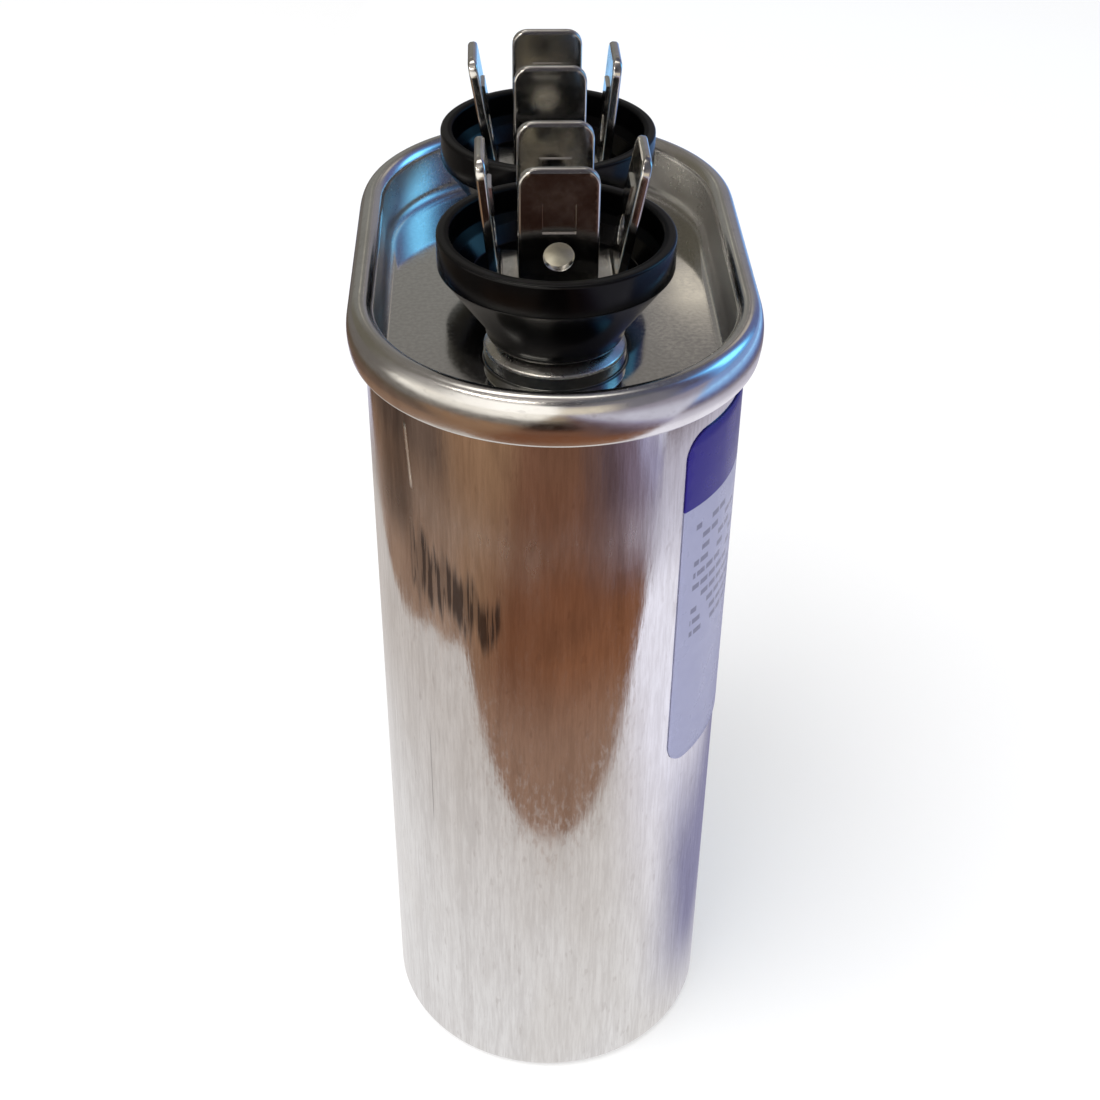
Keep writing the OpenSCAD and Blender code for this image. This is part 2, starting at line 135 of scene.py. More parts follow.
# The outside of the seam from its bottom up: the radius of each arc and the slopes, in degrees, that
# its normal turns through
BARREL = ((CURL_R, -90, -12), (6.7 * MM, -12, 0), (5.5 * MM, 0, 14), (3.26 * MM, 14, 25),
          (1.5 * MM, 25, 31), (1.02 * MM, 31, 180))
BOSS_Z = PANEL_Z + BOSS_H
TERMINAL_Y = (cup_low.y + cup_high.y) / -2
CUP_R = (cup_high.x - cup_low.x) / 2
CUP_TOP = cup_high.z
CUP_FLOOR = CUP_TOP - CUP_DEPTH
LABEL_R_OUT = CAN_R + LABEL_GLUE + LABEL_T
LABEL_FROM = math.acos((label_high.y - HALF_STRAIGHT) / LABEL_R_OUT)

# --- Mesh building ---

ARC_STEPS = 128
SIDE_STEPS = 24
BOSS_STEPS = 96
CUP_STEPS = 160
FILL_STEP = 0.9 * MM
STRAP_STEP = 0.3 * MM
BEND_STEP = 0.09 * MM
WELD = 1e-8
SAME_POINT = 1e-9


def arc(x, z, r, start, end, steps=8):
    """Points of an arc in a section, from one angle to another in degrees."""
    angles = np.radians(np.linspace(start, end, steps + 1))
    return [(x + r * math.cos(a), z + r * math.sin(a)) for a in angles]


def line(start, end, steps):
    """Points along a straight stretch of a section, without its first."""
    return [(start[0] + (end[0] - start[0]) * i / steps, start[1] + (end[1] - start[1]) * i / steps)
            for i in range(1, steps + 1)]


def oval_outward():
    """Places round the plan of the can: for each, the centre it turns about and its outward direction."""
    out = []
    for end, first in ((1, 0), (-1, math.pi)):
        for i in range(ARC_STEPS):
            a = first + math.pi * i / ARC_STEPS
            out.append((0, end * HALF_STRAIGHT, math.cos(a), math.sin(a)))
        for i in range(SIDE_STEPS):
            y = end * HALF_STRAIGHT * (1 - 2 * i / SIDE_STEPS)
            out.append((0, y, -end, 0))
    return np.array(out)


OVAL = oval_outward()


def oval_ring(r, z):
    """One ring of points round the plan of the can."""
    flat = OVAL[:, :2] + OVAL[:, 2:] * r
    return np.column_stack([flat, np.full(len(flat), z)])


def round_ring(r, z, centre_y, steps):
    """One ring of points round the upright axis of a terminal."""
    a = np.arange(steps) * 2 * math.pi / steps
    return np.column_stack([r * np.cos(a), centre_y + r * np.sin(a), np.full(steps, z)])


def placed_object(name, data):
    """A new object in the scene."""
    obj = bpy.data.objects.new(name, data)
    bpy.context.scene.collection.objects.link(obj)
    return obj


class Shell:
    """Collects the points and faces of one piece."""

    def __init__(self):
        """Starts with nothing; slots holds the material slot of each face."""
        self.points = []
        self.faces = []
        self.slots = []
        self.count = 0

    def add_points(self, points):
        """Takes in some points and gives the number of the first."""
        first = self.count
        self.points.append(np.asarray(points, float))
        self.count += len(points)
        return first

    def add_faces(self, faces, slot=0):
        """Takes in faces, each a tuple of point numbers, in one material slot."""
        self.faces.extend(faces)
        self.slots.extend([slot] * len(faces))

    def add_sheet(self, points, triangles):
        """Takes in some points with the triangles between them."""
        first = self.add_points(points)
        self.add_faces([tuple(first + i for i in triangle) for triangle in triangles])

    def rings(self, rings, slot=0, closed=False):
        """Joins each ring of points to the next, and the last to the first if closed."""
        firsts = [self.add_points(r) for r in rings]
        n = len(rings[0])
        pairs = list(zip(firsts, firsts[1:] + firsts[:1]))
        for a, b in pairs if closed else pairs[:-1]:
            self.add_faces([(a + i, a + (i + 1) % n, b + (i + 1) % n, b + i) for i in range(n)], slot)
        return firsts

    def build(self, name, materials, node, smooth=40):
        """Makes the object, welds what meets, and lets it stand for its CAD node."""
        mesh = bpy.data.meshes.new(name)
        mesh.from_pydata(np.concatenate(self.points).tolist(), [], self.faces)
        mesh.polygons.foreach_set("material_index", self.slots)
        bm = bmesh.new()
        bm.from_mesh(mesh)
        bmesh.ops.remove_doubles(bm, verts=bm.verts, dist=WELD)
        bmesh.ops.recalc_face_normals(bm, faces=bm.faces)
        bm.to_mesh(mesh)
        bm.free()
        mesh.polygons.foreach_set("use_smooth", [True] * len(mesh.polygons))
        mesh.set_sharp_from_angle(angle=math.radians(smooth))
        for material in materials:
            mesh.materials.append(material)
        obj = placed_object(name, mesh)
        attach(obj, "root")
        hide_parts(node)
        return obj


def even_grid(low, high, spacing, inside):
    """Points in rows, each row half a step along from the last, where there is room for them."""
    grid = []
    for row, y in enumerate(np.arange(low[1], high[1], spacing)):
        for x in np.arange(low[0] + spacing / 2 * (row % 2), high[0], spacing):
            if inside(x, y, spacing * 0.4):
                grid.append((x, y))
    return grid


def filled(outline, holes, inside, grid, creases=()):
    """Triangles that fill an outline round some holes, through a grid and along some creases."""
    edge = list(outline)
    loops = [list(range(len(edge)))]
    for hole in holes:
        loops.append(list(range(len(edge), len(edge) + len(hole))))
        edge.extend(hole)
    fixed = [(loop[i], loop[(i + 1) % len(loop)]) for loop in loops for i in range(len(loop))]
    for crease in creases:
        fixed += [(len(edge) + i, len(edge) + i + 1) for i in range(len(crease) - 1)]
        edge.extend(crease)
    flat = [Vector(p) for p in edge + grid]
    points, _, triangles, *_ = geometry.delaunay_2d_cdt(flat, fixed, [], 0, SAME_POINT)
    kept = []
    for t in triangles:
        centre = sum((points[i] for i in t), Vector((0, 0))) / 3
        if inside(centre.x, centre.y, 0):
            kept.append(tuple(t))
    return [tuple(p) for p in points], kept


# --- Materials ---


class Material:
    """A material under construction, with short calls for the nodes it uses."""

    def __init__(self, name, glows=False, **shader):
        """Starts a material that is lit, or one that glows, with some inputs of its shader set."""
        self.material = bpy.data.materials.new(name)
        self.material.use_nodes = True
        self.tree = self.material.node_tree
        self.shader = self.tree.nodes["Principled BSDF"]
        if glows:
            self.tree.nodes.remove(self.shader)
            self.shader = self.tree.nodes.new("ShaderNodeEmission")
            self.tree.links.new(self.shader.outputs[0], self.tree.nodes["Material Output"].inputs[0])
        for key, value in shader.items():
            self.plug(self.shader, key.replace("_", " ").title().replace("Ior", "IOR"), value)
        coordinates = self.tree.nodes.new("ShaderNodeTexCoord")
        self.place = coordinates.outputs["Object"]
        self.uv = coordinates.outputs["UV"]

    def plug(self, node, key, value):
        """Sets an input of a node to a number or colour, or links another node's output to it."""
        if isinstance(value, bpy.types.NodeSocket):
            self.tree.links.new(value, node.inputs[key])
        else:
            node.inputs[key].default_value = value

    def node(self, kind, inputs, **settings):
        """A new node of a kind, with its inputs and settings."""
        node = self.tree.nodes.new("ShaderNode" + kind)
        for key, value in settings.items():
            setattr(node, key, value)
        for key, value in inputs.items():
            self.plug(node, key, value)
        return node

    def stretched(self, scale, place=None):
        """Coordinates multiplied by a scale for each axis, in features per metre."""
        return self.node("Mapping", {"Vector": place or self.place, "Scale": scale}).outputs[0]

    def noise(self, scale, detail=3.0, roughness=0.5, place=None):
        """Noise from 0 to 1; scale is in features per metre, one number or one for each axis."""
        axes = scale if isinstance(scale, tuple) else (scale,) * 3
        return self.node("TexNoise", {"Vector": self.stretched(axes, place), "Scale": 1.0,
                                      "Detail": detail, "Roughness": roughness}).outputs[0]

    def ramp(self, value, low, high, start=0.0, end=1.0):
        """Value from low to high mapped smoothly onto start to end."""
        return self.node("MapRange", {"Value": value, "From Min": low, "From Max": high,
                                      "To Min": start, "To Max": end},
                         interpolation_type="SMOOTHSTEP").outputs[0]

    def math(self, operation, a, b=0.0, c=0.0):
        """One step of arithmetic on up to three values."""
        return self.node("Math", {0: a, 1: b, 2: c}, operation=operation).outputs[0]

    def product(self, first, *others):
        """All the values multiplied together."""
        for other in others:
            first = self.math("MULTIPLY", first, other)
        return first

    def distance(self, a, b):
        """How far off a place is that lies a along one axis and b along another."""
        return self.math("SQRT", self.math("MULTIPLY_ADD", a, a, self.math("MULTIPLY", b, b)))

    def mix(self, factor, a, b):
        """Two colours mixed by a factor."""
        return self.node("Mix", {"Factor": factor, 6: a, 7: b}, data_type="RGBA").outputs[2]

    def axis(self, name, place=None):
        """One coordinate of a place."""
        parts = self.node("SeparateXYZ", {"Vector": place or self.place})
        return parts.outputs[name]

    def within(self, value, low, high, soft):
        """1 where a value lies between two others, falling to 0 over a soft edge."""
        rises = self.ramp(value, low - soft, low + soft)
        return self.product(rises, self.ramp(value, high + soft, high - soft))

    def bump(self, height, depth, normal=None):
        """Bump whose full height is depth."""
        inputs = {"Height": height, "Distance": depth, "Strength": 1.0}
        if normal is not None:
            inputs["Normal"] = normal
        return self.node("Bump", inputs).outputs[0]

    def finish(self, **shader):
        """Plugs the last inputs into the shader and gives the material."""
        for key, value in shader.items():
            self.plug(self.shader, key.replace("_", " ").title(), value)
        return self.material


def front_dark_strokes(m, front, x, z):
    """Dark marks on the front end, in strokes that step down to the right."""
    ragged = m.math("MULTIPLY_ADD", m.noise((1300, 1300, 45), detail=2), 9 * MM, -4.5 * MM)
    top = m.math("ADD", m.math("MULTIPLY_ADD", x, -0.80, 57.2 * MM), ragged)
    bottom = m.math("ADD", m.math("MULTIPLY_ADD", x, -0.42, 54.4 * MM), ragged)
    below_top = m.ramp(m.math("SUBTRACT", top, z), -0.8 * MM, 1.6 * MM)
    above_bottom = m.ramp(m.math("SUBTRACT", z, bottom), -0.8 * MM, 1.6 * MM)
    patch = m.product(below_top, above_bottom, m.within(x, -12.4 * MM, -4.9 * MM, 0.25 * MM), front)
    strokes = m.product(m.ramp(m.noise((3200, 400, 95), detail=3), 0.42, 0.50), patch)
    return m.math("MAXIMUM", m.product(strokes, 0.9), m.product(patch, 0.38))


def front_scratch(m, front, x, z):
    """A bright, nearly upright scratch high on the left of the front end."""
    middle = m.math("MULTIPLY_ADD", z, -0.06, -12.25 * MM + 0.06 * 72 * MM)
    off = m.math("ABSOLUTE", m.math("SUBTRACT", x, middle))
    return m.product(m.ramp(off, 0.15 * MM, 0.05 * MM), m.within(z, 70.5 * MM, 76 * MM, 0.5 * MM), front)


def drawn_aluminium():
    """Bright drawn aluminium with short upright streaks, a hazy top, dark marks and a scratch on the front
    end, and a painted reflection of the dark table high on its left.
    """
    m = Material("drawn_aluminium", metallic=1.0)
    x, y, z = m.axis("X"), m.axis("Y"), m.axis("Z")
    front = m.ramp(y, -HALF_STRAIGHT + 1 * MM, -HALF_STRAIGHT - 1 * MM)
    fine = m.noise((3800, 3800, 330), detail=3, roughness=0.6)
    broad = m.noise((950, 950, 75), detail=3)
    cloud = m.noise((130, 130, 70), detail=4)
    fleck = m.noise((1500, 1500, 420), detail=2)
    grain = m.math("MULTIPLY_ADD", fine, 0.55, m.product(broad, 0.45))
    colour = m.mix(m.ramp(grain, 0.34, 0.66), (0.76, 0.75, 0.75, 1), (0.93, 0.93, 0.935, 1))
    colour = m.mix(m.ramp(cloud, 0.42, 0.72, 0.0, 0.35), colour, (0.74, 0.71, 0.68, 1))
    colour = m.mix(m.ramp(fleck, 0.62, 0.74, 0.0, 0.35), colour, (0.56, 0.53, 0.52, 1))

    # Dark marks on the front end: the dark strokes, a painted reflection of the dark table to their left,
    # and a hairline below them
    dark_strokes = front_dark_strokes(m, front, x, z)
    # Painted reflection: a dark patch high on the left of the front end stands in for the table mirrored
    # there
    painted_table_reflection = m.product(m.within(x, -14.6 * MM, -12.2 * MM, 0.7 * MM), m.within(z, 65 * MM, 80 * MM, 3 * MM),
                      front, m.ramp(broad, 0.3, 0.6, 0.25, 0.65))
    hairline = m.product(m.within(x, -11.45 * MM, -11.38 * MM, 0.05 * MM),
                         m.within(z, 32.5 * MM, 43 * MM, 1.5 * MM), front, 0.55)
    dark = m.math("MAXIMUM", m.math("MAXIMUM", dark_strokes, painted_table_reflection), hairline)
    colour = m.mix(dark, colour, (0.11, 0.10, 0.105, 1))
    scratch = front_scratch(m, front, x, z)
    colour = m.mix(scratch, colour, (1.0, 0.97, 0.90, 1))

    # Rougher in a hazy belt near the top, on the dark strokes, and in frosted flecks towards the bottom
    haze = m.within(m.math("MULTIPLY_ADD", cloud, 10 * MM, z), 68.5 * MM, 77 * MM, 4.5 * MM)
    frost = m.product(m.ramp(m.noise((2400, 2400, 700), detail=4, roughness=0.7), 0.47, 0.66),
                      m.ramp(z, 66 * MM, 40 * MM, 0.02, 0.13))
    roughness = m.math("MULTIPLY_ADD", haze, 0.17, m.ramp(broad, 0.3, 0.75, 0.055, 0.10))
    roughness = m.math("ADD", roughness, m.ramp(cloud, 0.4, 0.8, 0.0, 0.05))
    roughness = m.math("MULTIPLY_ADD", dark_strokes, 0.12, roughness)
    roughness = m.math("MULTIPLY_ADD", scratch, 0.3, roughness)
    roughness = m.math("ADD", roughness, frost)

    normal = m.bump(scratch, 0.10 * MM)
    normal = m.bump(fine, 0.0024 * MM, normal)
    normal = m.bump(m.noise((2000, 2000, 240), detail=4, roughness=0.6), 0.011 * MM, normal)
    return m.finish(base_color=colour, roughness=roughness, normal=normal)


def rolled_cover():
    """Bright rolled sheet, duller where it was drawn up round the edge, most of all at the front, and
    painted darker there as shade.
    """
    m = Material("rolled_cover", metallic=1.0)
    speck = m.noise(2600, detail=3)
    cloud = m.noise(140, detail=3)
    colour = m.mix(m.ramp(speck, 0.3, 0.7), (0.80, 0.795, 0.78, 1), (0.92, 0.915, 0.90, 1))
    roughness = m.math("ADD", m.ramp(cloud, 0.3, 0.8, 0.05, 0.10), m.ramp(speck, 0.3, 0.7, 0.0, 0.04))
    beyond = m.math("MAXIMUM", m.math("SUBTRACT", m.math("ABSOLUTE", m.axis("Y")), HALF_STRAIGHT), 0.0)
    drawn = m.ramp(m.distance(m.axis("X"), beyond), CHUCK_R - PANEL_R, CHUCK_R - 0.2 * MM)
    # Painted shade: the drawn wall of the recess is darkened in colour.
    colour = m.mix(drawn, colour, (0.62, 0.61, 0.59, 1))
    worn = m.ramp(m.axis("Y"), 14 * MM, 2 * MM, 0.20, 0.36)
    roughness = m.math("MULTIPLY_ADD", drawn, worn, roughness)
    return m.finish(base_color=colour, roughness=roughness, normal=m.bump(speck, 0.0006 * MM))


def seam_metal():
    """The rolled rim: bright, with fine marks of the rollers along it."""
    m = Material("seam_metal", metallic=1.0)
    speck = m.noise((1500, 1500, 3600), detail=3)
    cloud = m.noise(160, detail=3)
    colour = m.mix(m.ramp(cloud, 0.3, 0.75), (0.88, 0.87, 0.85, 1), (0.78, 0.765, 0.74, 1))
    colour = m.mix(m.ramp(speck, 0.6, 0.75, 0.0, 0.25), colour, (0.5, 0.48, 0.46, 1))
    roughness = m.math("ADD", m.ramp(speck, 0.3, 0.7, 0.14, 0.20), m.ramp(cloud, 0.4, 0.8, 0.0, 0.06))
    return m.finish(base_color=colour, roughness=roughness, normal=m.bump(speck, 0.0012 * MM))


def tin_plate(name, rough, bright=(0.84, 0.825, 0.79, 1), dull=(0.68, 0.655, 0.61, 1)):
    """Tinned sheet of a given roughness, mottled between two tones, with small dark specks."""
    m = Material(name, metallic=1.0)
    speck = m.noise(2400, detail=3)
    cloud = m.noise(420, detail=3)
    colour = m.mix(m.ramp(cloud, 0.35, 0.7), bright, dull)
    colour = m.mix(m.ramp(speck, 0.60, 0.72, 0.0, 0.35), colour, (0.42, 0.40, 0.36, 1))
    roughness = m.math("ADD", m.ramp(cloud, 0.3, 0.7, rough - 0.03, rough + 0.04),
                       m.ramp(speck, 0.3, 0.7, 0.0, 0.04))
    return m.finish(base_color=colour, roughness=roughness, normal=m.bump(speck, 0.0012 * MM))


def cup_plastic():
    """Glossy black moulded plastic, a little greyer and rougher along the rim, and more matt in the hollow.
    """
    m = Material("cup_plastic", ior=1.5)
    speck = m.noise(3000, detail=3)
    cloud = m.noise(300, detail=3)
    rim = m.ramp(m.axis("Z"), CUP_TOP - 0.22 * MM, CUP_TOP - 0.02 * MM)
    colour = m.mix(m.product(rim, m.ramp(cloud, 0.3, 0.7, 0.6, 1.0)), (0.0008, 0.0007, 0.0009, 1),
                   (0.0045, 0.0042, 0.0042, 1))
    offset = m.math("SUBTRACT", m.math("ABSOLUTE", m.axis("Y")), TERMINAL_Y)
    out = m.distance(m.axis("X"), offset)
    hollow = m.product(m.ramp(out, CUP_R - 0.5 * MM, CUP_R - 0.8 * MM),
                       m.ramp(m.axis("Z"), CUP_TOP - CUP_BAND_H, CUP_TOP - CUP_BAND_H + 0.3 * MM))
    roughness = m.math("MULTIPLY_ADD", rim, 0.15, m.ramp(cloud, 0.3, 0.7, 0.13, 0.20))
    roughness = m.math("MULTIPLY_ADD", hollow, 0.2, roughness)
    m.plug(m.shader, "Specular IOR Level", m.ramp(hollow, 0, 1, 0.24, 0.10))
    return m.finish(base_color=colour, roughness=roughness, normal=m.bump(speck, 0.0025 * MM))


def printed_label():
    """Satin film: a violet band along the top and grey bars for print, none of them a letter."""
    m = Material("printed_label", ior=1.48)
    m.plug(m.shader, "Specular IOR Level", 0.3)
    along, up = m.axis("X", m.uv), m.axis("Y", m.uv)
    paper = m.mix(m.noise(700, detail=3), (0.40, 0.415, 0.63, 1), (0.46, 0.475, 0.69, 1))
    rows = m.product(up, LABEL_ROWS)
    row = m.math("FLOOR", rows)
    shift = m.math("SINE", m.product(row, 12.9))
    words = m.math("MULTIPLY_ADD", shift, 3.1, m.product(along, 34))
    word = m.node("TexWhiteNoise", {"W": m.math("ADD", m.math("FLOOR", words), row)}, noise_dimensions="1D")
    tall = m.within(m.math("FRACT", rows), 0.28, 0.72, 0.03)
    wide = m.within(m.math("FRACT", words), 0.08, 0.92, 0.03)
    shown = m.math("GREATER_THAN", word.outputs["Value"], 0.3)
    area = m.product(m.within(along, 0.035, 0.86, 0.002), m.within(up, 0.40, 0.75, 0.002))
    colour = m.mix(m.product(tall, wide, shown, area, 0.7), paper, (0.13, 0.13, 0.22, 1))
    colour = m.mix(m.ramp(up, LABEL_BAND - 0.001, LABEL_BAND + 0.001), colour, (0.027, 0.018, 0.26, 1))
    return m.finish(base_color=colour, roughness=m.ramp(m.noise(500), 0.3, 0.7, 0.26, 0.34))


def inner(name, colour, darker, grain, roughness, metallic=0.0):
    """A plain finish with some grain, for a piece sealed inside."""
    m = Material(name, metallic=metallic)
    n = m.noise(grain, detail=3)
    mixed = m.mix(m.ramp(n, 0.3, 0.7), (*darker, 1), (*colour, 1))
    return m.finish(base_color=mixed, roughness=m.ramp(n, 0.2, 0.8, roughness - 0.06, roughness + 0.06),
                    normal=m.bump(n, 0.01 * MM))


# --- The can, its cover and its label ---


def sway(points, outward):
    """Pushes points of the drawn wall inwards a little, in long upright waves."""
    moved = points.copy()
    for i, (p, o) in enumerate(zip(points, outward)):
        wave = noise.noise(Vector((p[0] * 140, p[1] * 140, p[2] * 24)))
        ripple = noise.noise(Vector((p[0] * 420, p[1] * 420, p[2] * 60 + 7)))
        push = WALL_WAVE * (0.8 * (0.55 + 0.45 * wave) + 0.2 * (0.5 + 0.5 * ripple))
        moved[i, 0] -= o[0] * push
        moved[i, 1] -= o[1] * push
    return moved


def make_can(metal):
    """The can: its outside from the bottom up, then its inside from the mouth down, and two floors."""
    top = CREST_Z
    wall = [(CAN_R - BOTTOM_R, 0.0)] + arc(CAN_R - BOTTOM_R, BOTTOM_R, BOTTOM_R, -80, 0)
    wall += line((CAN_R, BOTTOM_R), (CAN_R, top), 90)
    rings = []
    for r, z in wall:
        ring = oval_ring(r, z)
        rings.append(sway(ring, OVAL[:, 2:]) if z >= BOTTOM_R else ring)
    shell = Shell()
    inner_r = BOTTOM_R - CAN_WALL
    inside = [(CAN_IN_R, top), (CAN_IN_R, BOTTOM_R)]
    inside += arc(CAN_IN_R - inner_r, BOTTOM_R, inner_r, 0, -90)[1:]
    rings += [oval_ring(r, z) for r, z in inside]
    firsts = shell.rings(rings)
    n = len(OVAL)
    shell.add_faces([tuple(range(firsts[0], firsts[0] + n))])
    shell.add_faces([tuple(range(firsts[-1], firsts[-1] + n))])
    return shell.build("can_shell", [metal], "can", smooth=50)


def seam_barrel(inset):
    """The bulging outside of the seam, or the same sheet's hidden side, from its top inner edge down."""
    x, z = CHUCK_R + BARREL[-1][0], CASE_H - BARREL[-1][0]
    points = []
    radii = [r for r, _, _ in BARREL]
    for i in range(len(BARREL) - 1, -1, -1):
        r, low, high = BARREL[i]
        points += arc(x, z, r - inset, high, low, max(4, (high - low) // 5))
        if i > 0:
            x += (r - radii[i - 1]) * math.cos(math.radians(low))
            z += (r - radii[i - 1]) * math.sin(math.radians(low))
    return points, z


def seam_sections():
    """Half sections of the cover past its flat panel: the wall of the recess, then over the seam, up
    inside its hook and back underneath."""
    edge = CHUCK_R - PANEL_R
    bend_z = PANEL_Z + PANEL_R
    hook_top = CREST_Z - HOOK_PLAY
    face = [(edge - PANEL_LAP, PANEL_Z)] + arc(edge, bend_z, PANEL_R, -90, 0)
    face += line((CHUCK_R, bend_z), (CHUCK_R, CASE_H - BARREL[-1][0]), 6)
    rim, curl_z = seam_barrel(0)
    curl_x = HOOK_R + CURL_R
    rim += [(curl_x, curl_z - CURL_R)] + arc(curl_x, curl_z, CURL_R, -90, -180)[1:]
    rim += [(HOOK_R, hook_top), (HOOK_R + COVER_T, hook_top), (HOOK_R + COVER_T, curl_z)]
    rim += [(curl_x, curl_z - CURL_R + COVER_T)] + seam_barrel(COVER_T)[0][::-1]
    rim += arc(edge, bend_z, PANEL_R + COVER_T, 0, -90) + [(edge - PANEL_LAP, PANEL_Z - COVER_T)]
    return face, rim


def boss_section():
    """Half section of a boss, from its brim on the panel round to the underside, and how many of its
    points come before the top of its upright wall."""
    foot = BOSS_R + BOSS_FOOT_R
    foot_z = PANEL_Z + BOSS_FOOT_R
    edge_x, edge_z = BOSS_R - BOSS_EDGE_R, BOSS_Z - BOSS_EDGE_R
    under_z = edge_z - BOSS_UNDER_DROP
    crown = BOSS_Z + BOSS_SHOULDER
    chamfer_w, chamfer_h = BOSS_CROWN_CHAMFER
    wall = [(foot + PANEL_LAP, PANEL_Z)] + arc(foot, foot_z, BOSS_FOOT_R, -90, -180, 6)
    top = arc(edge_x, edge_z, BOSS_EDGE_R, 0, BOSS_EDGE_TURN)
    top += [(NECK_FOOT_R + chamfer_w, crown - chamfer_h), (NECK_FOOT_R, crown), (COVER_HOLE_R, crown)]
    under = [(COVER_HOLE_R, crown - COVER_T), (NECK_FOOT_R, crown - COVER_T)]
    under += arc(edge_x, under_z, BOSS_UNDER_R, BOSS_EDGE_TURN, 0, 3) + [(BOSS_R - COVER_T, under_z)]
    under += arc(foot, foot_z, BOSS_FOOT_R + COVER_T, -180, -90, 6)
    return wall + top + under + [(foot + PANEL_LAP, PANEL_Z - COVER_T)], len(wall)


def make_cover(panel_metal, rim_metal, boss_metal, shaded_wall_metal):
    """The cover: its seam, its flat panel with a faint wave in it, and a boss under each terminal, whose
    upright wall is painted dark as shade.
    """
    shell = Shell()
    for slot, section in enumerate(seam_sections()):
        shell.rings([oval_ring(r, z) for r, z in section], slot)
    boss, wall_points = boss_section()
    brim = boss[0][0]
    edge = CHUCK_R - PANEL_R - PANEL_LAP

    def to_edge(x, y):
        """How far a place on the flat panel is from the panel's outer edge or the nearer boss."""
        spine = max(-HALF_STRAIGHT, min(HALF_STRAIGHT, y))
        return min([edge - math.hypot(x, y - spine)]
                   + [math.hypot(x, y - end * TERMINAL_Y) - brim for end in ENDS.values()])

    def inside(x, y, margin):
        """Whether a place is on the flat panel, with a margin to spare."""
        return to_edge(x, y) > margin

    outline = [tuple(p) for p in oval_ring(edge, 0)[:, :2]]
    holes = [[tuple(p) for p in round_ring(brim, 0, end * TERMINAL_Y, BOSS_STEPS)[:, :2]]
             for end in ENDS.values()]
    reach = SEAM_R + HALF_STRAIGHT
    spread = even_grid((-SEAM_R, -reach), (SEAM_R, reach), FILL_STEP, inside)
    points, triangles = filled(outline, holes, inside, spread)
    top = []
    for x, y in points:
        fade = min(1, max(0, to_edge(x, y) / PANEL_STILL)) ** 2
        wave = PANEL_WAVE * fade * noise.noise(Vector((x * 150, y * 150, 3)))
        top.append((x, y, PANEL_Z + wave))
    shell.add_sheet(top, triangles)
    shell.add_sheet([(x, y, PANEL_Z - COVER_T) for x, y in points], triangles)
    for end in ENDS.values():
        rings = [round_ring(r, z, end * TERMINAL_Y, BOSS_STEPS) for r, z in boss]
        shell.rings(rings[:wall_points + 1], slot=3)
        shell.rings(rings[wall_points:], slot=2)
    return shell.build("cover_shell", [panel_metal, rim_metal, boss_metal, shaded_wall_metal], "cover", smooth=50)


def make_label(film):
    """The label, cut flat and wrapped from one round end along the +X side to the other."""
    straight = HALF_STRAIGHT
    turn = math.pi / 2 - LABEL_FROM
    reach = straight + turn * LABEL_R_OUT
    low, high = label_low.z, label_high.z

    def outline(inset):
        """Points round the flat label, this far in from its cut edge."""
        r = LABEL_R - inset
        x, z0, z1 = reach - LABEL_R, low + LABEL_R, high - LABEL_R
        return (arc(x, z0, r, -90, 0, 8) + line((reach - inset, z0), (reach - inset, z1), 40)
                + arc(x, z1, r, 0, 90, 8)[1:] + line((x, high - inset), (-x, high - inset), 80)
                + arc(-x, z1, r, 90, 180, 8)[1:] + line((inset - reach, z1), (inset - reach, z0), 40)
                + arc(-x, z0, r, 180, 270, 8)[1:] + line((-x, low + inset), (x, low + inset), 80)[:-1])

    def wrapped(s, z, lift):
        """A place s along the label and z up, laid on the can and lifted off it."""
        r = CAN_R + lift
        if abs(s) <= straight:
            place, outward = (r, s, z), (1, 0)
        else:
            a = (abs(s) - straight) / LABEL_R_OUT
            outward = (math.cos(a), math.copysign(math.sin(a), s))
            place = (r * outward[0], math.copysign(straight, s) + r * outward[1], z)
        return sway(np.array([place]), [outward])[0]

    def inside(s, z, margin):
        """Whether a place is on the label, with a margin to spare from its straight edges."""
        return abs(s) < reach - margin and low + margin < z < high - margin

    face = LABEL_GLUE + LABEL_T
    nip = LABEL_EDGE_R * 0.3
    lifts = [(0, LABEL_GLUE), (0, face - LABEL_EDGE_R), (nip, face - nip), (LABEL_EDGE_R, face)]
    shell = Shell()
    shell.rings([np.array([wrapped(s, z, lift) for s, z in outline(inset)]) for inset, lift in lifts])
    for inset, lift in (lifts[-1], lifts[0]):
        ring = outline(inset)
        spread = even_grid((-reach, low), (reach, high), FILL_STEP, inside)
        points, triangles = filled(ring, [], inside, spread)
        shell.add_sheet([wrapped(s, z, lift) for s, z in points], triangles)
    obj = shell.build("label_film", [film], "label", smooth=60)
    layer = obj.data.uv_layers.new(name="print")
    for loop in obj.data.loops:
        p = obj.data.vertices[loop.vertex_index].co
        y = p.y
        if abs(y) <= straight:
            s = y
        else:
            s = math.copysign(straight + LABEL_R_OUT * math.atan2(abs(y) - straight, p.x), y)
        layer.data[loop.index].uv = ((s + reach) / (2 * reach), (p.z - low) / (high - low))
    return obj


# --- The terminals ---


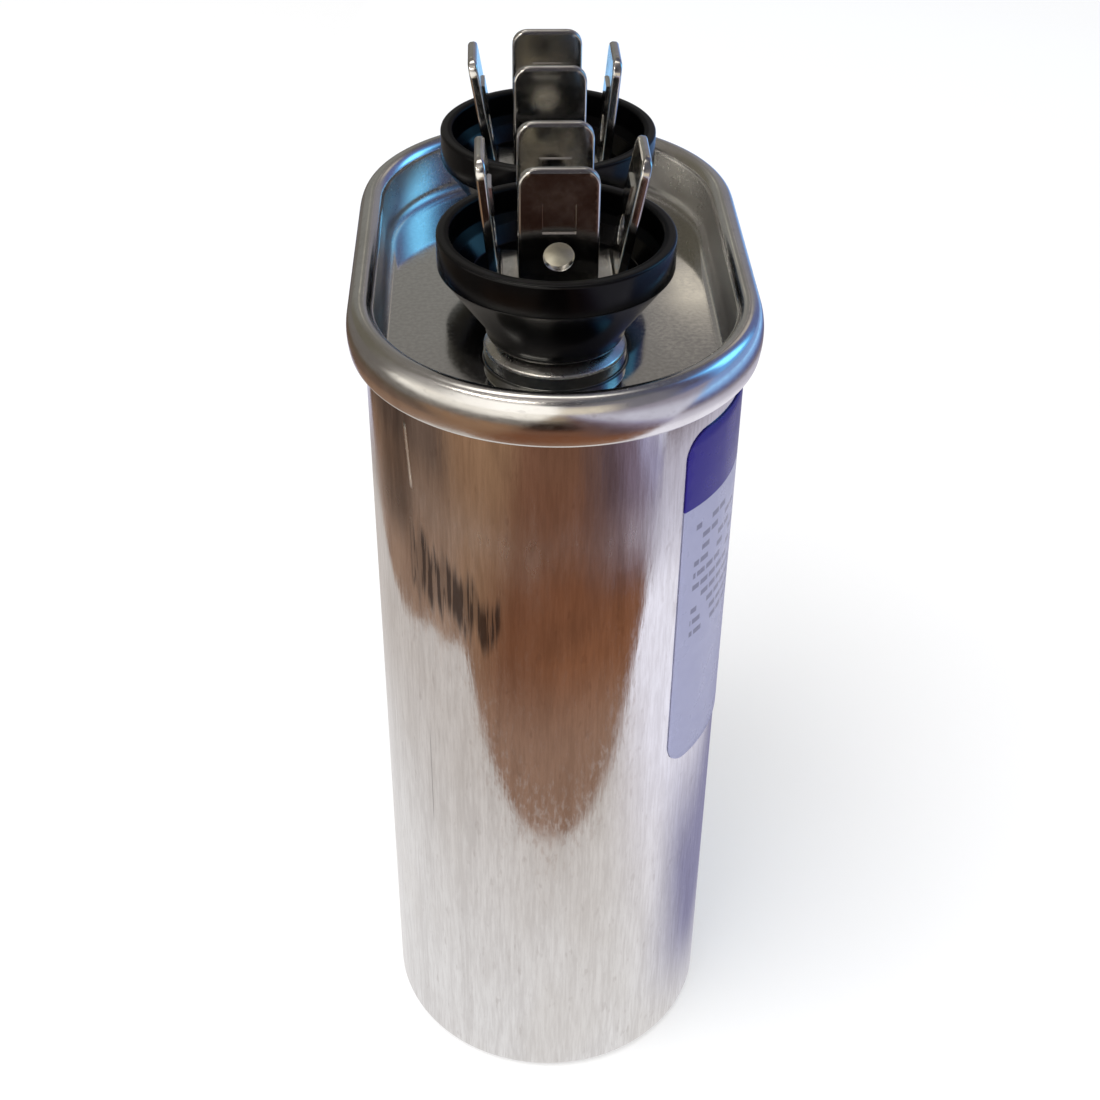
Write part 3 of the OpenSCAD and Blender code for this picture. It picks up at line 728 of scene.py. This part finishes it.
def make_cup(name, end, plastic):
    """A flared cup: one closed section, from its spigot up the outside and down the hollow, turned."""
    rim_in = CUP_R - CUP_WALL
    band = CUP_TOP - CUP_BAND_H
    spigot_end = PANEL_Z - COVER_T + CUP_PLAY
    e = CUP_EDGE_R
    foot_z = BOSS_Z + CUP_PLAY + BOSS_SHOULDER
    neck_z = foot_z + NECK_ROUND
    section = [(BORE_R, spigot_end), (SPIGOT_R, spigot_end), (SPIGOT_R, foot_z), (NECK_FOOT_R, foot_z)]
    section += arc(NECK_R - NECK_ROUND, neck_z, NECK_ROUND, -80, 0, 12)[:-1]
    section += [(NECK_R, neck_z + NECK_H)]
    section += arc(CUP_R - e, band + e, e, -55, 0)
    section += arc(CUP_R - e, CUP_TOP - e, e, 0, 90)
    section += arc(rim_in + e, CUP_TOP - e, e, 90, 180)
    section += arc(rim_in - e, CUP_TOP - CUP_INNER_H, e, 0, -30, 4)
    foot = rim_in - CUP_TAPER
    section += arc(foot - e, CUP_FLOOR + e, e, -40, -90, 4)
    section += [(BORE_R, CUP_FLOOR)]
    shell = Shell()
    shell.rings([round_ring(r, z, end * TERMINAL_Y, CUP_STEPS) for r, z in section], closed=True)
    return shell.build(name + "_moulding", [plastic], name, smooth=35)


def make_strap(name, end, leans, crosswise, metal):
    """A strap with a blade bent up at each end, shaped flat and then bent along its middle line."""
    low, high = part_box(name)
    height, gap = (CROSS_BLADE_H, CROSS_GAP) if crosswise else (SIDE_BLADE_H, SIDE_GAP)
    bend_x = BLADE_W / 2 + gap
    mid_r = BEND_R + BLADE_T / 2
    turns = [math.pi / 2 - math.radians(lean) for lean in leans]
    halves = [bend_x + mid_r * a + (height - BLADE_T - BEND_R + mid_r * math.cos(a)) / math.sin(a)
              for a in turns]
    width = BLADE_W / 2
    t = BLADE_T

    def to_tip(s):
        """The distance along the strap from here to the nearer tip."""
        return halves[s > 0] - abs(s)

    stations = [0.0]
    while stations[-1] < max(halves):
        in_bend = bend_x - 0.2 * MM < stations[-1] < bend_x + mid_r * max(turns)
        stations.append(stations[-1] + (BEND_STEP if in_bend else STRAP_STEP))

    def outline(inset):
        """Points round the flat strap, this far in from its edge."""
        r = BLADE_TIP_R - inset
        side = width - inset
        v = width - BLADE_TIP_R
        left, right = BLADE_TIP_R - halves[0], halves[1] - BLADE_TIP_R
        straight = [-s for s in stations[:0:-1] if -s > left] + [s for s in stations if s < right]
        return (arc(right, -v, r, -90, 0, 8) + line((halves[1] - inset, -v), (halves[1] - inset, v), 8)
                + arc(right, v, r, 0, 90, 8)[1:] + [(s, side) for s in straight[::-1]]
                + arc(left, v, r, 90, 180, 8) + line((inset - halves[0], v), (inset - halves[0], -v), 8)
                + arc(left, -v, r, 180, 270, 8)[1:] + [(s, -side) for s in straight])

    holes = [(0.0, BORE_R, 32)] + [(side * (half - WIRE_HOLE_DROP), WIRE_HOLE_R, 48)
                                   for side, half in zip((-1, 1), halves)]

    def hole(centre, r, steps, inset):
        """Points round a hole, this far out from its edge."""
        a = -np.arange(steps) * 2 * math.pi / steps
        return [(centre + (r + inset) * math.cos(x), (r + inset) * math.sin(x)) for x in a]

    def press(s, v):
        """How far the sheet is pushed in at the latching dimple, a flat pocket with steep sides."""
        down = to_tip(s) - DIMPLE_DROP
        from_end = min(down, DIMPLE_H - down) / DIMPLE_LIP
        from_side = (DIMPLE_W / 2 - abs(v)) / DIMPLE_FLANK
        return DIMPLE_D * min(1, max(0, min(from_end, from_side)))

    def thinner(s):
        """The coined bevel on both faces of the tip."""
        return TIP_BEVEL_D * max(0, 1 - to_tip(s) / TIP_BEVEL_H)

    def creases():
        """Where a face changes its slope: under each tip, and round and across each dimple."""
        for side, half in zip((-1, 1), halves):
            v = width - BLADE_TIP_R + math.sqrt(BLADE_TIP_R ** 2 - (BLADE_TIP_R - TIP_BEVEL_H) ** 2)
            v -= BLADE_EDGE_R + 0.05 * MM
            top, w = half - DIMPLE_DROP, DIMPLE_W / 2
            bottom = top - DIMPLE_H
            mouth = [(top, -w), (top, w), (bottom, w), (bottom, -w)]
            top, w, bottom = top - DIMPLE_LIP, w - DIMPLE_FLANK, bottom + DIMPLE_LIP
            pocket = [(top, -w), (top, w), (bottom, w), (bottom, -w)]
            lines = [[(half - TIP_BEVEL_H, v * (i / 10 - 1)) for i in range(21)],
                     mouth + mouth[:1], pocket + pocket[:1], *zip(mouth, pocket)]
            yield from ([(side * x, y) for x, y in crease] for crease in lines)

    def bent(s, v, w):
        """A place on the flat strap, w above its middle plane, carried round the bend to where it goes."""
        limit = turns[s > 0]
        a = min(limit, max(0, (abs(s) - bend_x) / mid_r))
        past = max(0, abs(s) - bend_x - mid_r * limit)
        flat = min(abs(s), bend_x)
        x = flat + mid_r * math.sin(a) + past * math.cos(a) - w * math.sin(a)
        z = t / 2 + mid_r * (1 - math.cos(a)) + past * math.sin(a) + w * math.cos(a)
        x = math.copysign(x, s)
        z += low.z
        return (v, end * TERMINAL_Y + x, z) if crosswise else (x, end * TERMINAL_Y + v, z)

    def inside(s, v, margin):
        """Whether a place is on the flat of the strap, with a margin to spare from edges and holes."""
        corner_s = BLADE_TIP_R - to_tip(s)
        corner_v = abs(v) - (width - BLADE_TIP_R)
        margin += BLADE_EDGE_R
        if to_tip(s) < margin or abs(v) > width - margin:
            return False
        if corner_s > 0 and corner_v > 0 and math.hypot(corner_s, corner_v) > BLADE_TIP_R - margin:
            return False
        margin += HOLE_EDGE_R - BLADE_EDGE_R
        return all(math.hypot(s - centre, v) > r + margin for centre, r, _ in holes)

    def placed(s, v, w):
        """A place on the strap with the bevel of the tip and the dimple pressed into it, then bent."""
        return bent(s, v, w * (1 - 2 * thinner(s) / t) + press(s, v))

    shell = Shell()
    loops = [(outline, BLADE_EDGE_R)] + [(lambda inset, h=h: hole(*h, inset), HOLE_EDGE_R) for h in holes]
    for loop, e in loops:
        round_over = [(e * (1 - math.sin(a)), t / 2 - e + e * math.cos(a))
                      for a in np.linspace(0, math.pi / 2, 9)]
        round_over += [(i, -w) for i, w in round_over[::-1]]
        shell.rings([np.array([placed(s, v, w) for s, v in loop(inset)]) for inset, w in round_over])
    rows = sorted({-s for s in stations} | set(stations))
    spread = []
    for row, s in enumerate(rows):
        for v in np.arange(-width + STRAP_STEP / 2 * (row % 2), width, STRAP_STEP):
            if inside(s, v, 0.08 * MM):
                spread.append((s, v))
    points, triangles = filled(outline(BLADE_EDGE_R), [hole(*h, HOLE_EDGE_R) for h in holes], inside, spread,
                               list(creases()))
    for w in (t / 2, -t / 2):
        shell.add_sheet([placed(s, v, w) for s, v in points], triangles)
    return shell.build(name + "_strip", [metal], name, smooth=18)


# --- Pieces ---

FINISHES = {
    "can": drawn_aluminium(),
    "cover": rolled_cover(),
    "label": printed_label(),
    "cup": cup_plastic(),
    "blades": tin_plate("tin_plate", 0.11),
    "rivet": tin_plate("rivet_head", 0.40, (0.66, 0.62, 0.50, 1), (0.46, 0.43, 0.34, 1)),
}
make_can(FINISHES["can"])
# The upright walls of the bosses get a dark tin tone: painted shade under the cups.
make_cover(FINISHES["cover"], seam_metal(), tin_plate("boss_metal", 0.27),
           tin_plate("boss_wall_painted_shade", 0.13, (0.26, 0.26, 0.25, 1), (0.20, 0.20, 0.19, 1)))
make_label(FINISHES["label"])
for end_name, end in ENDS.items():
    make_cup("cup_" + end_name, end, FINISHES["cup"])
    make_strap("side_blades_" + end_name, end, SIDE_LEANS[end_name], False, FINISHES["blades"])
    make_strap("cross_blades_" + end_name, end, CROSS_LEANS, True, FINISHES["blades"])

INNER = {
    "gasket": inner("moulded_rubber", (0.03, 0.03, 0.03), (0.015, 0.015, 0.015), 900, 0.7),
    "insulating_washer": inner("natural_nylon", (0.80, 0.76, 0.64), (0.70, 0.66, 0.55), 500, 0.4),
    "contact_plate": inner("brass_strip", (0.80, 0.60, 0.27), (0.62, 0.45, 0.20), 700, 0.3, 1.0),
    "interrupter_plate": inner("phenolic_board", (0.30, 0.16, 0.07), (0.20, 0.10, 0.045), 900, 0.5),
    "lead": inner("tinned_ribbon", (0.80, 0.80, 0.80), (0.62, 0.62, 0.62), 1200, 0.3, 1.0),
    "winding_core": inner("natural_polypropylene", (0.82, 0.80, 0.72), (0.74, 0.72, 0.64), 500, 0.4),
    "winding": inner("film_edges", (0.62, 0.61, 0.58), (0.45, 0.44, 0.42), (6000, 6000, 40), 0.35, 0.6),
    "end_spray": inner("sprayed_zinc", (0.50, 0.51, 0.52), (0.34, 0.35, 0.36), 2500, 0.65, 0.8),
    "insulating_wrap": inner("wrap_sheet", (0.80, 0.78, 0.70), (0.73, 0.71, 0.63), 400, 0.45),
    "bottom_insulator": inner("pressed_board", (0.56, 0.46, 0.30), (0.44, 0.35, 0.22), 1500, 0.8),
}
FINISHES.update(INNER)
for node_name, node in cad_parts.items():
    kind = next(key for key in sorted(FINISHES, key=len, reverse=True) if key in node_name)
    node.data.materials.clear()
    node.data.materials.append(FINISHES[kind])

# --- Studio ---

ROOM_R = 2.0
TABLE_LIFT = 0.1 * MM
FLOOR_REACH = 4.0
# The metal gives back less than all the light, so what it mirrors is brighter than it looks: by GAIN
# on the table, and by PLAIN on what isn't a window or a light in the room
GAIN = 1 / 0.88
PLAIN = 1 / 0.82
WORLD_LIGHT = 0.55
LAMP_POWER = 6.0
LAMP_SIZE = 0.7
LAMP_PLACE = (-0.3, -0.3, 0.8)
LAMP_AIM = (0, 0, 0.05)
# The lens and the sensor of the camera are in millimetres, as Blender takes them
LENS = 55.56
SENSOR = 36
CAMERA_PLACE = (-5.312 * MM, -136.094 * MM, 149.823 * MM)
CAMERA_YAW, CAMERA_PITCH, CAMERA_ROLL = (math.radians(a) for a in (2.325, 36.7, 0.706))


def srgb(r, g, b, share=1.0):
    """A colour given as it looks on screen, 0 to 255, as the linear light that a shader takes."""
    return tuple(share * ((c / 255 + 0.055) / 1.055) ** 2.4 for c in (r, g, b)) + (1,)


def only_reflected(name, bm, material):
    """Makes a piece of the studio that only shows in the metal, and adds no light elsewhere."""
    mesh = bpy.data.meshes.new(name)
    bm.to_mesh(mesh)
    bm.free()
    mesh.materials.append(material)
    obj = placed_object(name, mesh)
    obj.visible_camera = False
    obj.visible_diffuse = False
    obj.visible_shadow = False
    obj.visible_transmission = False


def bands(m, colour, value, tones, mask=1.0):
    """Lays tones over a colour one after another, each fading in between two readings of a value."""
    for near, distant, tone in tones:
        colour = m.mix(m.product(m.ramp(value, near, distant), mask), colour, srgb(*tone, GAIN))
    return colour


def table_wood(m, x, y, far):
    """The brown table past the paper: reddish in front, greyer on the left, paling to the right."""
    wood = bands(m, srgb(142, 112, 94, GAIN), far, (
        (0.072, 0.092, (122, 80, 56)), (0.090, 0.112, (110, 70, 49)), (0.112, 0.140, (114, 80, 62)),
        (0.142, 0.168, (20, 11, 8)), (0.245, 0.300, (75, 66, 54)), (0.300, 0.420, (150, 134, 113))))
    left = bands(m, srgb(144, 118, 100, GAIN), far, (
        (0.085, 0.110, (134, 107, 88)), (0.112, 0.126, (101, 84, 73)), (0.142, 0.168, (88, 77, 64)),
        (0.178, 0.215, (107, 104, 100))))
    left = bands(m, left, far, ((0.30, 0.40, (255, 250, 240)),), m.ramp(y, 0.08, -0.04))
    left = bands(m, left, y, ((-0.04, -0.085, (144, 112, 86)),), m.ramp(far, 0.22, 0.18))
    wood = m.mix(m.ramp(x, -0.035, -0.075), wood, left)
    wood = bands(m, wood, x, (
        (0.020, 0.045, (98, 74, 68)), (0.048, 0.062, (84, 68, 72)), (0.066, 0.086, (116, 102, 118)),
        (0.090, 0.106, (156, 152, 180)), (0.108, 0.125, (204, 204, 220)),
        (0.200, 0.400, (150, 145, 160))), m.ramp(far, 0.10, 0.12))
    grain = m.noise((8, 70, 1), detail=3)
    return m.mix(m.ramp(grain, 0.35, 0.7, 0.0, 0.35), wood, srgb(70, 44, 34, GAIN))


def table_paper(m, x, y, far):
    """The paper: bluer to the right, with a violet shade close by there, and blue far off."""
    paper = bands(m, srgb(219, 217, 216, GAIN), far, ((0.02, 0.075, (190, 183, 178)),))
    aside = m.math("SUBTRACT", x, m.product(m.math("ABSOLUTE", y), 0.3))
    paper = bands(m, paper, aside, ((0.004, 0.05, (228, 226, 237)),))
    shade = m.product(m.ramp(x, 0.010, 0.024), m.ramp(x, 0.062, 0.03),
                      m.ramp(y, -0.03, -0.008), m.ramp(y, 0.09, 0.05))
    paper = m.mix(shade, paper, srgb(134, 132, 160, GAIN))
    return bands(m, paper, far, (
        (0.095, 0.115, (186, 182, 196)), (0.126, 0.141, (124, 114, 121)), (0.145, 0.162, (90, 90, 125)),
        (0.172, 0.215, (124, 161, 219)), (0.225, 0.262, (158, 208, 255)), (0.295, 0.335, (124, 150, 200)),
        (0.650, 1.300, (118, 140, 182))))


def on_paper(m, x, y):
    """1 on the paper: right of its left edge and behind its curved front edge, less the corner there."""
    past = m.math("MAXIMUM", m.math("SUBTRACT", x, 0.008), 0.0)
    curve = m.product(past, past, 1.3)
    slant = m.product(m.math("MAXIMUM", m.math("ADD", y, 0.01), 0.0), -0.14)
    mask = m.product(m.ramp(m.math("ADD", y, curve), -0.0593, -0.0581),
                     m.ramp(m.math("ADD", x, slant), -0.0812, -0.0800))
    for lean, reach in ((0.97, -0.1190), (2.545, -0.2292), (0.04, -0.0598)):
        corner = m.math("MULTIPLY_ADD", x, lean, y)
        mask = m.product(mask, m.ramp(corner, reach - 0.0006, reach + 0.0006))
    return mask


def table_top():
    """What the metal sees below it: white paper, with a brown table round its front and left edges."""
    m = Material("table_top", glows=True)
    flat = m.node("VectorMath", {0: m.place, 1: (1, 1, 0)}, operation="MULTIPLY")
    far = m.node("VectorMath", {0: flat.outputs[0]}, operation="LENGTH").outputs["Value"]
    x, y = m.axis("X"), m.axis("Y")
    colour = m.mix(on_paper(m, x, y), table_wood(m, x, y, far), table_paper(m, x, y, far))
    bm = bmesh.new()
    bmesh.ops.create_circle(bm, cap_ends=True, radius=ROOM_R, segments=64)
    bmesh.ops.translate(bm, verts=bm.verts, vec=(0, 0, TABLE_LIFT))
    only_reflected("table_top", bm, m.finish(color=colour))


# Patches of the room, each laid over those before: its tone, how bright, where it lies between two
# azimuths and two heights, and how soft its edges are each way. All angles are in degrees; azimuth 0
# is beyond the can, 90 to its right and 180 behind the camera.
ROOM_PATCHES = (
    ((250, 246, 238), 2.2, (-80, 80), (66, 82), (10, 4)),
    ((96, 92, 82), PLAIN, (-75, -25), (-40, 42), (14, 10)),
    ((117, 116, 112), PLAIN, (-32, 6), (-40, 32), (8, 6)),
    ((122, 121, 128), PLAIN, (4, 40), (-40, 28), (8, 6)),
    ((150, 144, 136), PLAIN, (6.6, 11), (28.3, 30.6), (0.9, 0.6)),
    ((236, 226, 208), PLAIN, (7.2, 9.4), (29.1, 30.1), (0.7, 0.5)),
    ((76, 76, 86), PLAIN, (0, 125), (40, 75), (12, 8)),
    ((90, 98, 140), PLAIN, (32, 122), (-40, 50), (8, 8)),
    ((182, 174, 164), PLAIN, (18, 32), (29.5, 39), (3, 3)),
    ((168, 164, 152), PLAIN, (-15, -8), (26.5, 32), (2, 1.5)),
    ((100, 160, 225), PLAIN, (54, 92), (-10, 46), (6, 6)),
    ((122, 206, 255), 2.2, (60, 84), (12, 38), (4, 4)),
    ((76, 74, 94), PLAIN, (98, 122), (8, 60), (5, 5)),
    ((108, 106, 114), PLAIN, (118, 180), (-40, 35), (10, 8)),
    ((84, 85, 92), PLAIN, (118, 172), (38, 72), (8, 6)),
    ((150, 134, 113), PLAIN, (140, 180), (-40, -3), (8, 3)),
    ((205, 195, 178), PLAIN, (152, 180), (-5, 18), (8, 5)),
    ((176, 171, 166), PLAIN, (-180, -118), (-40, 70), (14, 8)),
    ((152, 148, 144), PLAIN, (-122, -92), (-40, 60), (10, 10)),
    ((236, 229, 218), PLAIN, (-180, -98), (-40, 6), (14, 8)),
    ((252, 248, 242), PLAIN, (-180, -122), (-40, 28), (14, 6)),
    ((196, 190, 184), PLAIN, (-180, -140), (34, 46), (10, 4)),
    ((60, 58, 62), PLAIN, (-180, -171), (26, 58), (3, 3)),
    ((60, 58, 62), PLAIN, (166, 180), (26, 58), (3, 3)),
    ((255, 250, 240), 11.0, (-164, -114), (45.5, 49), (2, 1.5)),
)


def room():
    """What the metal sees round it and above: a bright window behind the camera's left shoulder, a
    blue one on the right, a pale light high up beyond the can, and grey walls."""
    m = Material("room", glows=True)
    azimuth = m.product(m.math("ARCTAN2", m.axis("X"), m.axis("Y")), 180 / math.pi)
    rise = m.product(m.math("ARCSINE", m.math("DIVIDE", m.axis("Z"), ROOM_R)), 180 / math.pi)
    colour = m.mix(m.ramp(rise, 55, 80), srgb(108, 104, 100, PLAIN), srgb(128, 122, 122, PLAIN))
    for tone, gain, *spans, softness in ROOM_PATCHES:
        mask = 1.0
        for value, (low, high), soft in zip((azimuth, rise), spans, softness):
            if low > -180:
                mask = m.product(mask, m.ramp(value, low - soft, low + soft))
            if high < 180:
                mask = m.product(mask, m.ramp(value, high + soft, high - soft))
        colour = m.mix(mask, colour, srgb(*tone, gain))
    bm = bmesh.new()
    bmesh.ops.create_uvsphere(bm, u_segments=96, v_segments=48, radius=ROOM_R)
    only_reflected("room", bm, m.finish(color=colour))


def floor_sheet():
    """A white floor. The camera sees it darker but glowing, more so far away, to leave it white there
    with only the can's shadow on it."""
    r = FLOOR_REACH
    mesh = bpy.data.meshes.new("floor")
    mesh.from_pydata([(-r, -r, 0), (r, -r, 0), (r, r, 0), (-r, r, 0)], [], [(0, 1, 2, 3)])
    m = Material("floor", roughness=1.0)
    seen = m.node("LightPath", {}).outputs["Is Camera Ray"]
    away = m.node("VectorMath", {0: m.place}, operation="LENGTH").outputs["Value"]
    glow = m.product(seen, m.ramp(away, 0.3, 1.2, 0.38, 0.66))
    mesh.materials.append(m.finish(base_color=m.mix(seen, (0.9, 0.9, 0.9, 1), (0.66, 0.66, 0.66, 1)),
                                   emission_color=(1, 1, 1, 1), emission_strength=glow))
    floor = placed_object("floor", mesh)


def white_world():
    """A white sky, full strength to camera, glossy and transmitted rays, and weaker as a light."""
    world = bpy.data.worlds.new("studio")
    world.use_nodes = True
    nodes, links = world.node_tree.nodes, world.node_tree.links
    path = nodes.new("ShaderNodeLightPath")
    seen = path.outputs["Is Camera Ray"]
    for ray in ("Is Glossy Ray", "Is Transmission Ray"):
        either = nodes.new("ShaderNodeMath")
        either.operation = "MAXIMUM"
        links.new(seen, either.inputs[0])
        links.new(path.outputs[ray], either.inputs[1])
        seen = either.outputs[0]
    level = nodes.new("ShaderNodeMapRange")
    level.inputs["To Min"].default_value = WORLD_LIGHT
    level.inputs["To Max"].default_value = 1.0
    links.new(seen, level.inputs["Value"])
    nodes["Background"].inputs["Color"].default_value = (1, 1, 1, 1)
    links.new(level.outputs[0], nodes["Background"].inputs["Strength"])
    bpy.context.scene.world = world


def key_lamp():
    """A soft square lamp high on the left in front, for the shadow on the floor. The metal doesn't
    mirror it."""
    light = bpy.data.lights.new("key", "AREA")
    light.energy = LAMP_POWER
    light.size = LAMP_SIZE
    lamp = placed_object("key", light)
    lamp.location = LAMP_PLACE
    lamp.rotation_euler = (Vector(LAMP_AIM) - lamp.location).to_track_quat("-Z", "Y").to_euler()
    lamp.visible_glossy = False
    lamp.visible_camera = False


def photo_camera():
    """The camera of the photo."""
    lens = bpy.data.cameras.new("camera")
    lens.lens = LENS
    lens.sensor_width = SENSOR
    lens.clip_start = 5 * MM
    camera = placed_object("camera", lens)
    flat = math.cos(CAMERA_PITCH)
    forward = Vector((math.sin(CAMERA_YAW) * flat, math.cos(CAMERA_YAW) * flat, -math.sin(CAMERA_PITCH)))
    level = Vector((math.cos(CAMERA_YAW), -math.sin(CAMERA_YAW), 0))
    right = math.cos(CAMERA_ROLL) * level + math.sin(CAMERA_ROLL) * level.cross(forward)
    camera.matrix_world = Matrix((right, right.cross(forward), -forward)).transposed().to_4x4()
    camera.location = CAMERA_PLACE
    bpy.context.scene.camera = camera


table_top()
room()
floor_sheet()
white_world()
key_lamp()
photo_camera()
bpy.context.scene.view_settings.view_transform = "Standard"
